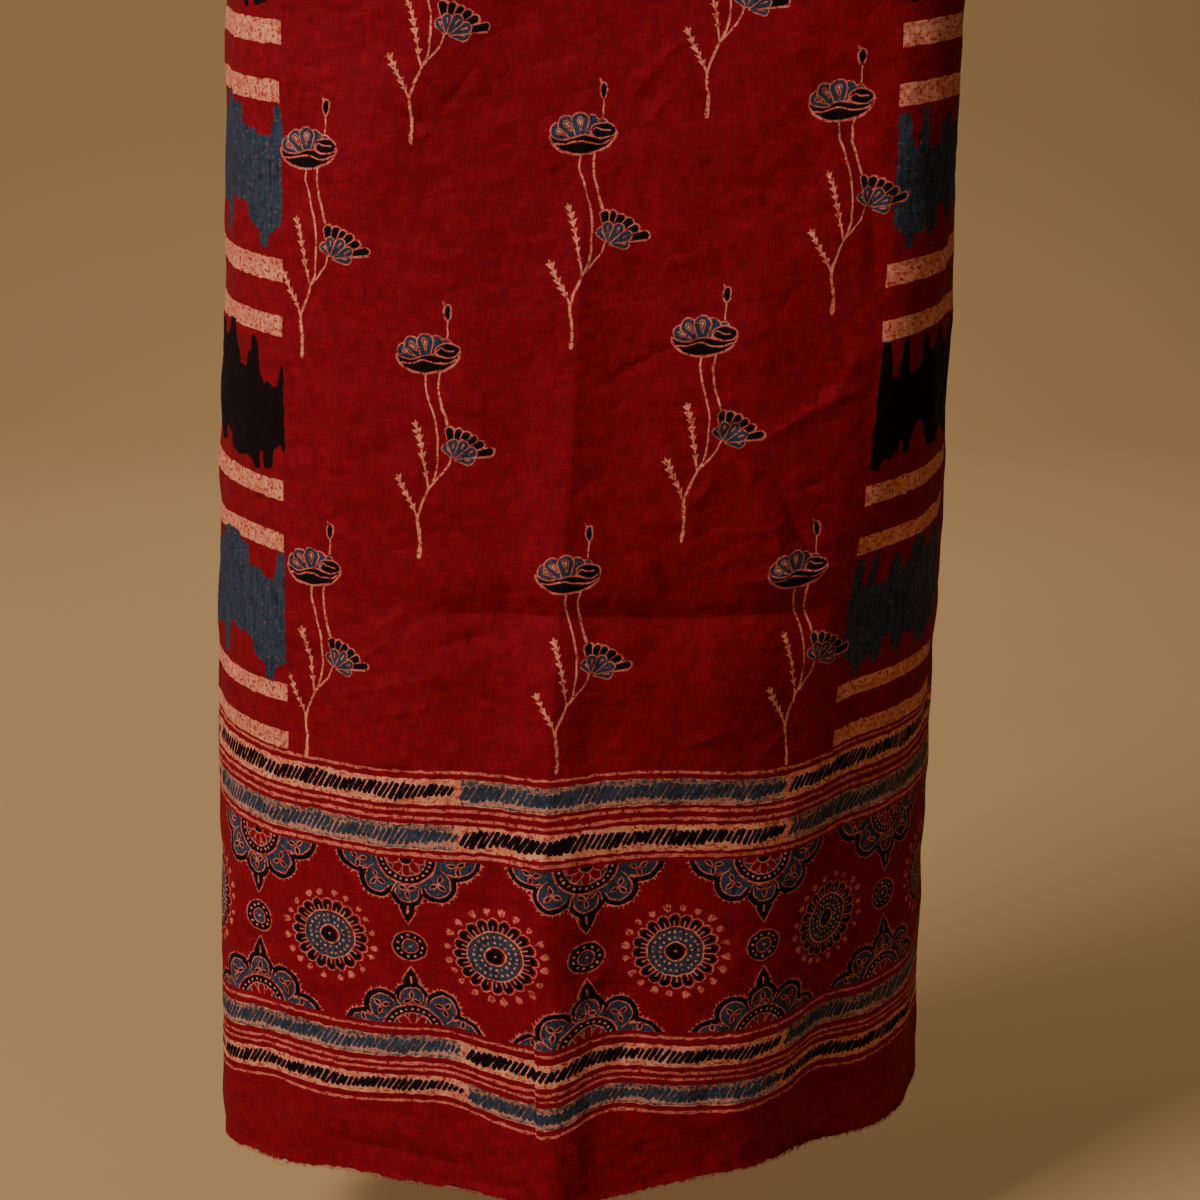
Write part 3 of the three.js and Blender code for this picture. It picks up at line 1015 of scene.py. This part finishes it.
def print_borders(sheet):
    blocks = list(zip(BLOCK_JOINTS[:-1], BLOCK_JOINTS[1:]))
    for lines, bands, swapped in ((UPPER_LINES, UPPER_BANDS, False), (LOWER_LINES, LOWER_BANDS, True)):
        ground = strip(-HALF_WIDTH, HALF_WIDTH, lines[0][0] + GROUND_ABOVE, lines[-1][1] - GROUND_BELOW)
        sheet.add("red", ground)
        for left, right in blocks:
            for top, bottom in lines:
                step = vary(-LINE_STEP, LINE_STEP)
                upper = top + step - LINE_THIN
                lower = bottom + step + LINE_THIN
                sheet.add("rose", strip(left - LINE_LAP, right + LINE_LAP, upper, lower, **LINE_STRIP))
        for row, (top, bottom) in enumerate(bands):
            sheet.add("cream", strip(-HALF_WIDTH, HALF_WIDTH, top, bottom, **BAND_STRIP))
            above = BARE_ABOVE * (top - bottom)
            below = BARE_BELOW * (top - bottom)
            for count, (left, right) in enumerate(blocks):
                dark = (count + row + swapped) % 2 == 1
                if not dark:
                    wear(sheet, left, right, top, bottom, above)
                if count == SMEAR["block"] and not dark:
                    upper = top - above * SMEAR["depth"]
                    lower = bottom + below * SMEAR["depth"]
                    smear(sheet, left + SMEAR["starts"], right - SMEAR["stops"], upper, lower)
                hatch(sheet, left, right, top - above, bottom + below, "black" if dark else "blue")


def print_sides(sheet):
    for top, bottom in BARS:
        for end, outer in ((BAR_END_LEFT, -BORDER_OUTER), (BAR_END_RIGHT, BORDER_OUTER)):
            left, right = sorted((end + vary(-BAR_END_UNEVEN, BAR_END_UNEVEN), outer))
            sheet.add("cream", strip(left, right, top, bottom, **BAR_STRIP))
    for middle, dye in BLOCKS:
        for side, end, outward in BLOCK_SIDES:
            rows = BLOCK_ROWS[side, dye]
            top = [(end + outward * out, middle + above) for out, above, _ in rows]
            bottom = [(end + outward * out, middle + below) for out, _, below in rows]
            sheet.add(dye, roughen(np.array(top + bottom[::-1])))


def cloth_print():
    sheet = Print()
    print_round_row(sheet)
    print_borders(sheet)
    print_sides(sheet)
    for across, up, lean in SPRIGS:
        sheet.stamp(sprig(), across, up, lean)
    return sheet.shapes


# The printed sheet as a mesh

DYES = ("red", "cream", "black", "blue", "haze", "rose", "veil")


def sheet_outline():
    hem = np.linspace(-HALF_WIDTH, HALF_WIDTH, int(CLOTH_WIDTH / HEM_PITCH) + 1)
    top = np.linspace(HALF_WIDTH, -HALF_WIDTH, int(CLOTH_WIDTH / MESH_PITCH) + 1)
    side = np.linspace(0, DROP, int(DROP / MESH_PITCH) + 1)[1:-1]
    points = [(x, 0.0) for x in hem]
    points += [(HALF_WIDTH, up) for up in side]
    points += [(x, DROP) for x in top]
    points += [(-HALF_WIDTH, up) for up in side[::-1]]
    return points


def ring_edges(start, count):
    """Edges round a closed ring of points that are numbered from start."""
    ring = list(range(start, start + count))
    return list(zip(ring, ring[1:] + ring[:1]))


def inside(outline, spots):
    """Which spots lie inside an outline, by counting the edges crossed on the way out."""
    x = spots[:, 0][:, None]
    y = spots[:, 1][:, None]
    second = np.roll(outline, -1, axis=0)
    spans = (outline[:, 1] > y) != (second[:, 1] > y)
    fall = second[:, 1] - outline[:, 1]
    fall = np.where(fall == 0, NEARLY_NOTHING, fall)
    crossing = outline[:, 0] + (y - outline[:, 1]) * (second[:, 0] - outline[:, 0]) / fall
    return np.count_nonzero(spans & (x < crossing), axis=1) % 2 == 1


def cut_flat(points, edges, shapes):
    """Flat triangles along the given edges, and the dye that lies uppermost on each."""
    cut = delaunay_2d_cdt([Vector(point) for point in points], edges, [], 0, CUT_TOLERANCE, False)
    flat = np.array([tuple(point) for point in cut[0]])
    triangles = np.array(cut[2])
    middles = flat[triangles].mean(axis=1)
    across, up = middles.T
    kept = (np.abs(across) < HALF_WIDTH) & (up > 0) & (up < DROP)
    triangles = triangles[kept]
    middles = middles[kept]
    order = np.argsort(middles[:, 1])
    triangles = triangles[order]
    middles = middles[order]
    dyes = np.zeros(len(triangles), int)
    for dye, outline in shapes:
        low = np.searchsorted(middles[:, 1], outline[:, 1].min())
        high = np.searchsorted(middles[:, 1], outline[:, 1].max())
        row = middles[low:high, 0]
        near = low + np.flatnonzero((row > outline[:, 0].min()) & (row < outline[:, 0].max()))
        dyes[near[inside(outline, middles[near])]] = DYES.index(dye)
    return flat, triangles, dyes


def dye_edges(triangles, dyes):
    """Edges where two dyes meet."""
    owners = {}
    meets = []
    for corners, dye in zip(triangles.tolist(), dyes.tolist()):
        for first, second in zip(corners, corners[1:] + corners[:1]):
            pair = (first, second) if first < second else (second, first)
            if owners.setdefault(pair, dye) != dye:
                meets.append(pair)
    return meets


def inlay(shapes, pitch, extra):
    """Cut the flat sheet along every printed outline that shows. Gives points, triangles and their dyes."""
    border = sheet_outline()
    points = list(border)
    rim = ring_edges(0, len(border))
    edges = list(rim)
    for _, outline in shapes:
        edges.extend(ring_edges(len(points), len(outline)))
        points.extend(outline.tolist())
    flat, triangles, dyes = cut_flat(points, edges, shapes)
    meets = dye_edges(triangles, dyes)
    used = sorted({index for pair in meets for index in pair})
    place = {index: len(border) + count for count, index in enumerate(used)}
    points = list(border) + [tuple(flat[index]) for index in used]
    edges = rim + [(place[first], place[second]) for first, second in meets]
    for row, up in enumerate(np.arange(pitch, DROP - EDGE_CLEAR, pitch)):
        offset = pitch / 2 * (row % 2)
        for across in np.arange(-HALF_WIDTH + pitch / 2 + offset, HALF_WIDTH - EDGE_CLEAR, pitch):
            points.append((across, up))
    for across in np.arange(-HALF_WIDTH + HEM_ROW_START, HALF_WIDTH, HEM_ROW_PITCH):
        points.extend((across, up) for up in HEM_ROWS)
    points.extend(extra)
    return cut_flat(points, edges, shapes)


def bold(shapes):
    """The larger printed shapes, with fewer points, as they show through on the back."""
    kept = []
    for dye, outline in shapes:
        if abs(twice_area(outline)) / 2 > BACK_LEAST_AREA.get(dye, BACK_LEAST_OTHER):
            kept.append((dye, outline[::2] if len(outline) > BACK_FULL_POINTS else outline))
    return kept


def border_places(flat):
    """Index of each point of the sheet's border among the flat points."""
    spots = {(round(x, 2), round(y, 2)): index for index, (x, y) in enumerate(flat.tolist())}
    return [spots[round(x, 2), round(y, 2)] for x, y in sheet_outline()]


def lay_places(mesh, places):
    """Smooth shading, and each point's place on the cloth (metres) for the materials."""
    mesh.polygons.foreach_set("use_smooth", np.ones(len(mesh.polygons), bool))
    corners = np.empty(len(mesh.loops), np.int32)
    mesh.loops.foreach_get("vertex_index", corners)
    layer = mesh.uv_layers.new(name="cloth_places")
    layer.data.foreach_set("uv", places[corners].ravel().astype(np.float32))
    mesh.update()


def sheet_mesh(points_grid, normals_grid, materials):
    """The sheet: a printed front, a paler back and the narrow rim that joins them."""
    shapes = cloth_print()
    rough = Waves(HEM_ROUGH_SEED, **HEM_ROUGH)
    fuzz = Waves(HEM_FUZZ_SEED, **HEM_FUZZ)
    sides = (
        (shapes, MESH_PITCH, crease_points(**FRONT_CREASE), 0.0),
        (bold(shapes), BACK_PITCH, crease_points(**BACK_CREASE), THICKNESS),
    )
    layers = []
    for side_shapes, pitch, extra, depth in sides:
        flat, triangles, dyes = inlay(side_shapes, pitch, extra)
        across, up = flat.T
        uneven = HEM_LIFT + rough.at(across, 0.0) + fuzz.at(across, 0.0)
        lifted = up + np.where(up < ON_HEM, uneven, 0.0)
        normals = unit(sample(normals_grid, across, lifted))
        points = sample(points_grid, across, lifted) - normals * depth
        layers.append((flat, triangles, dyes, points, normals))
    front, back = layers
    count = len(front[0])
    front_rim = border_places(front[0])
    back_rim = [count + index for index in border_places(back[0])]
    rim = []
    for step, after in ring_edges(0, len(front_rim)):
        rim.append((front_rim[step], back_rim[step], back_rim[after]))
        rim.append((front_rim[step], back_rim[after], front_rim[after]))
    faces = np.concatenate((front[1], back[1][:, ::-1] + count, np.array(rim)))
    slots = np.concatenate((front[2], back[2] + len(DYES), np.zeros(len(rim), int)))
    mesh = bpy.data.meshes.new("cloth_sheet")
    mesh.from_pydata((np.concatenate((front[3], back[3])) * MM).tolist(), [], faces.tolist())
    for material in materials:
        mesh.materials.append(material)
    mesh.polygons.foreach_set("material_index", slots.astype(np.int32))
    lay_places(mesh, np.concatenate((front[0], back[0])) * MM)
    mesh.normals_split_custom_set_from_vertices(np.concatenate((front[4], -back[4])).tolist())
    return mesh


# Materials


class Nodes:
    """Short helpers to add and join a material's nodes."""

    def __init__(self, name):
        self.material = bpy.data.materials.new(name)
        self.material.use_nodes = True
        self.tree = self.material.node_tree
        self.shader = self.tree.nodes["Principled BSDF"]

    def add(self, kind, inputs=None, **settings):
        node = self.tree.nodes.new(kind)
        for key, value in settings.items():
            setattr(node, key, value)
        self.set(node, inputs or {})
        return node

    def set(self, node, inputs):
        for key, value in inputs.items():
            if isinstance(value, bpy.types.NodeSocket):
                self.tree.links.new(value, node.inputs[key])
            else:
                node.inputs[key].default_value = value

    def noise(self, places, scale, stretch=(1, 1, 1), detail=3.0, rough=0.55, kind="2D"):
        mapped = self.add("ShaderNodeMapping", {"Vector": places, "Scale": stretch})
        inputs = {"Vector": mapped.outputs[0], "Scale": scale, "Detail": detail, "Roughness": rough}
        return self.add("ShaderNodeTexNoise", inputs, noise_dimensions=kind).outputs["Fac"]

    def span(self, value, low, high, to_low=0.0, to_high=1.0):
        inputs = {"Value": value, "From Min": low, "From Max": high, "To Min": to_low, "To Max": to_high}
        return self.add("ShaderNodeMapRange", inputs).outputs["Result"]

    def math(self, operation, first, second=0.5):
        return self.add("ShaderNodeMath", {0: first, 1: second}, operation=operation).outputs[0]

    def mix(self, share, first, second, blend="MIX"):
        inputs = {"Factor": share, 6: first, 7: second}
        return self.add("ShaderNodeMix", inputs, data_type="RGBA", blend_type=blend).outputs[2]


def linear(red, green, blue):
    """A colour given as it looks on a screen, 0 to 255, as linear light."""
    values = []
    for part in (red, green, blue):
        share = part / 255
        values.append(share / 12.92 if share <= 0.04045 else ((share + 0.055) / 1.055) ** 2.4)
    return (*values, 1.0)


# Patterns of the cotton, with scale and stretch in waves for each metre
BLOTCH = dict(scale=130.0, detail=4.0, rough=0.68)
WARP = dict(scale=1.0, stretch=(1900.0, 90.0, 1.0), detail=1.0)
WEFT = dict(scale=1.0, stretch=(90.0, 1900.0, 1.0), detail=1.0)
BRUSHED = dict(scale=1.0, stretch=(620.0, 45.0, 1.0), detail=2.0, rough=0.65)
SPECKS = dict(scale=420.0, detail=3.0, rough=0.7)
SPECK_EDGE = 0.08
WEAVE_SHADE = dict(low=0.12, high=0.40, to_low=0.80, to_high=1.18)
WRINKLES = dict(scale=30.0, stretch=(1.0, 1.35, 1.0), detail=2.0, rough=0.5)
CREPE = dict(scale=150.0, stretch=(1.0, 1.3, 1.0), detail=1.0, rough=0.5)
CREPE_SHARE = 0.14
RELIEF = {"Distance": 0.004, "Strength": 0.6}
COTTON = {"Roughness": 0.88, "Specular IOR Level": 0.12}

# Dyes in the order of the mesh's slots: name, dark and light tone, stain, where stains start and streakiness
RED_DARK = linear(116, 10, 25)
RED_LIGHT = linear(142, 17, 32)
DYE_LOOKS = (
    ("red", RED_DARK, RED_LIGHT, linear(104, 4, 20), 0.72, 0.08),
    ("cream", linear(206, 104, 80), linear(248, 176, 142), linear(176, 52, 46), 0.53, 0.2),
    ("black", linear(18, 5, 10), linear(28, 10, 16), linear(60, 8, 18), 0.72, 0.3),
    ("blue", linear(30, 36, 52), linear(66, 78, 98), linear(116, 84, 84), 0.61, 0.5),
    ("haze", linear(120, 92, 86), linear(190, 128, 104), linear(58, 62, 76), 0.49, 0.4),
    ("rose", linear(192, 74, 66), linear(236, 140, 116), linear(146, 24, 34), 0.54, 0.2),
    ("veil", linear(170, 106, 88), linear(224, 156, 130), linear(84, 80, 90), 0.54, 0.3),
)
# Loose threads of the hem: the cloth's red dye, but with paler, pinker tones than the cloth that paint the
# sheen on the fuzz and painted light over the shade the threads hang in
THREAD_LOOK_WITH_PAINTED_SHEEN = ("thread", linear(150, 36, 42), linear(222, 132, 116), RED_DARK, 0.6, 0.2)
BACK_FADE = 0.42
BACK_TONE = linear(134, 26, 36)
FLOOR_TONE = linear(180, 145, 101)
FLOOR_CLOUD = dict(scale=1.6, detail=2.0, kind="3D")
FLOOR_SHADE = 0.93
FLOOR_PAINT = {"Roughness": 0.95, "Specular IOR Level": 0.2}


def dye_material(look, fade=0.0, ending=""):
    """Dyed cotton: mottled tone, thread streaks, stains of the ground, and a woven, crumpled surface."""
    name, dark, light, stain, stain_from, streak = look
    nodes = Nodes("cotton_" + name + ending)
    places = nodes.add("ShaderNodeUVMap", uv_map="cloth_places").outputs[0]
    blotch = nodes.span(nodes.noise(places, **BLOTCH), 0.3, 0.7)
    threads = nodes.math("MULTIPLY", nodes.noise(places, **WARP), nodes.noise(places, **WEFT))
    tone = nodes.mix(nodes.span(nodes.noise(places, **BRUSHED), 0.35, 0.65, 0, streak), dark, light)
    tone = nodes.mix(nodes.math("MULTIPLY", blotch, 1.0 - streak), tone, light)
    specks = nodes.span(nodes.noise(places, **SPECKS), stain_from, stain_from + SPECK_EDGE)
    tone = nodes.mix(specks, tone, stain)
    shade = nodes.span(threads, **WEAVE_SHADE)
    grey = nodes.add("ShaderNodeCombineColor", {0: shade, 1: shade, 2: shade}).outputs[0]
    tone = nodes.mix(1.0, tone, grey, "MULTIPLY")
    if fade:
        tone = nodes.mix(fade, tone, BACK_TONE)
    ridges = nodes.math("ABSOLUTE", nodes.math("SUBTRACT", nodes.noise(places, **WRINKLES)))
    crepe = nodes.math("MULTIPLY", nodes.noise(places, **CREPE), CREPE_SHARE)
    relief = nodes.add("ShaderNodeBump", {"Height": nodes.math("ADD", ridges, crepe), **RELIEF})
    nodes.set(nodes.shader, {"Base Color": tone, "Normal": relief.outputs[0], **COTTON})
    return nodes.material


def floor_material():
    nodes = Nodes("floor_paint")
    places = nodes.add("ShaderNodeTexCoord").outputs["Object"]
    darker = tuple(part * FLOOR_SHADE for part in FLOOR_TONE[:3]) + (1.0,)
    tone = nodes.mix(nodes.noise(places, **FLOOR_CLOUD), darker, FLOOR_TONE)
    nodes.set(nodes.shader, {"Base Color": tone, **FLOOR_PAINT})
    return nodes.material


# Frayed threads along the raw hem

THREAD_ASIDE = (0.3, 0.9, 0.2)


def thread(route, radius):
    """Points and faces of a thin thread along a route, in metres."""
    run = unit(np.gradient(route, axis=0), NEARLY_NOTHING)
    side = unit(np.cross(run, THREAD_ASIDE), NEARLY_NOTHING)
    other = np.cross(run, side)
    last = len(route) - 1
    points = []
    for index, middle in enumerate(route):
        thin = radius * (1.0 if index < last else FRAY_TIP)
        for corner in range(FRAY_SIDES):
            angle = 2 * math.pi * corner / FRAY_SIDES
            points.append(middle + thin * (math.cos(angle) * side[index] + math.sin(angle) * other[index]))
    faces = []
    for step in range(last):
        for first, second in ring_edges(step * FRAY_SIDES, FRAY_SIDES):
            faces.append((first, second, second + FRAY_SIDES, first + FRAY_SIDES))
    faces.append(tuple(range(FRAY_SIDES))[::-1])
    faces.append(tuple(range(last * FRAY_SIDES, (last + 1) * FRAY_SIDES)))
    return points, faces


def fray_routes(points_grid, normals_grid):
    """Routes of the loose threads, in millimetres, with the looped one last."""
    picks = random.Random(FRAY_SEED)
    routes = []
    for _ in range(FRAY_COUNT):
        across = picks.uniform(-HALF_WIDTH + EDGE_CLEAR, HALF_WIDTH - EDGE_CLEAR)
        root = sample_one(points_grid, across, FRAY_ROOT)
        normal = sample_one(normals_grid, across, FRAY_ROOT)
        span = FRAY_SHORT if picks.random() < FRAY_SHORT_SHARE else FRAY_LONG
        length = picks.uniform(*span)
        sway = np.array([picks.uniform(-most, most) for most in FRAY_SWAY] + [0.0])
        start = root - normal * (THICKNESS / 2)
        route = []
        for step in range(FRAY_STEPS + 1):
            share = step / FRAY_STEPS
            fall = np.array((0, 0, -FRAY_ROOT - length * share if step else 0.0))
            route.append(start + fall + sway * length * share ** 2)
        routes.append(route)
    root = sample_one(points_grid, LOOP["across"], LOOP["root"])
    loop = []
    for step in range(LOOP["steps"] + 1):
        share = step / LOOP["steps"]
        along = LOOP["reach"] * share - LOOP["bulge"] * math.sin(2 * math.pi * share)
        up = LOOP["root"] - LOOP["fall"] * math.sin(math.pi * share) ** LOOP["flat"]
        loop.append(root + np.array((along, -LOOP["forward"], up)))
    return routes + [loop]


def fray_mesh(points_grid, normals_grid, material):
    routes = fray_routes(points_grid, normals_grid)
    points = []
    faces = []
    for route in routes:
        thick = LOOP["thick"] if route is routes[-1] else 1.0
        new_points, new_faces = thread(np.array(route) * MM, FRAY_RADIUS * MM * thick)
        base = len(points)
        points.extend(new_points)
        faces.extend(tuple(base + corner for corner in face) for face in new_faces)
    mesh = bpy.data.meshes.new("hem_fray")
    mesh.from_pydata([tuple(point) for point in points], [], faces)
    mesh.materials.append(material)
    lay_places(mesh, np.array(points)[:, (0, 2)])
    return mesh


# Stage, lights and camera


def add_object(name, data):
    piece = bpy.data.objects.new(name, data)
    bpy.context.scene.collection.objects.link(piece)
    return piece


def build_stage():
    """A pale floor that sweeps up behind into a plain backdrop."""
    profile = [(FLOOR_FRONT, FLOOR_UP)]
    for step in range(BEND_STEPS + 1):
        angle = math.pi / 2 * step / BEND_STEPS
        back = BACKDROP_PLACE - BACKDROP_BEND + BACKDROP_BEND * math.sin(angle)
        profile.append((back, FLOOR_UP + BACKDROP_BEND - BACKDROP_BEND * math.cos(angle)))
    profile.append((BACKDROP_PLACE, BACKDROP_TOP))
    points = [(x, y, z) for x in (-FLOOR_HALF, FLOOR_HALF) for y, z in profile]
    count = len(profile)
    faces = [(i, i + count, i + count + 1, i + 1) for i in range(count - 1)]
    mesh = bpy.data.meshes.new("floor")
    mesh.from_pydata(points, [], faces)
    mesh.polygons.foreach_set("use_smooth", np.ones(len(faces), bool))
    mesh.materials.append(floor_material())
    floor = add_object("floor", mesh)


def build_lights():
    for row in LIGHTS:
        light = bpy.data.lights.new(row["name"], "AREA")
        light.shape = "RECTANGLE"
        light.size, light.size_y = row["size"]
        light.energy = row["power"]
        light.color = row["colour"]
        lamp = add_object(row["name"], light)
        lamp.location = row["place"]
        aim = Vector(row["target"]) - Vector(row["place"])
        lamp.rotation_euler = aim.to_track_quat("-Z", "Y").to_euler()
    world = bpy.data.worlds.new("studio")
    world.use_nodes = True
    background = world.node_tree.nodes["Background"]
    background.inputs["Color"].default_value = ROOM_COLOUR
    background.inputs["Strength"].default_value = ROOM_STRENGTH
    bpy.context.scene.world = world


def build_camera():
    camera = bpy.data.cameras.new("camera")
    camera.lens = CAMERA_LENS
    camera.sensor_width = CAMERA_SENSOR
    eye = add_object("camera", camera)
    back = CAMERA_DISTANCE * math.cos(CAMERA_DOWN)
    rise = CAMERA_DISTANCE * math.sin(CAMERA_DOWN)
    eye.location = (CAMERA_TARGET[0], CAMERA_TARGET[1] - back, CAMERA_TARGET[2] + rise)
    eye.rotation_euler = (math.pi / 2 - CAMERA_DOWN, 0, 0)
    bpy.context.scene.camera = eye


def build_cloth():
    points_grid, normals_grid = cloth_grid()
    fronts = [dye_material(look) for look in DYE_LOOKS]
    backs = [dye_material(look, BACK_FADE, "_back") for look in DYE_LOOKS]
    cloth = add_object("printed_cloth", sheet_mesh(points_grid, normals_grid, fronts + backs))
    # The loose threads take the pale tones that paint a sheen on the fuzz
    fray = add_object("hem_fray", fray_mesh(points_grid, normals_grid, dye_material(THREAD_LOOK_WITH_PAINTED_SHEEN)))
    for piece in (cloth, fray):
        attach(piece, "root")
    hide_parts("cloth")


build_camera()
build_cloth()
build_stage()
build_lights()
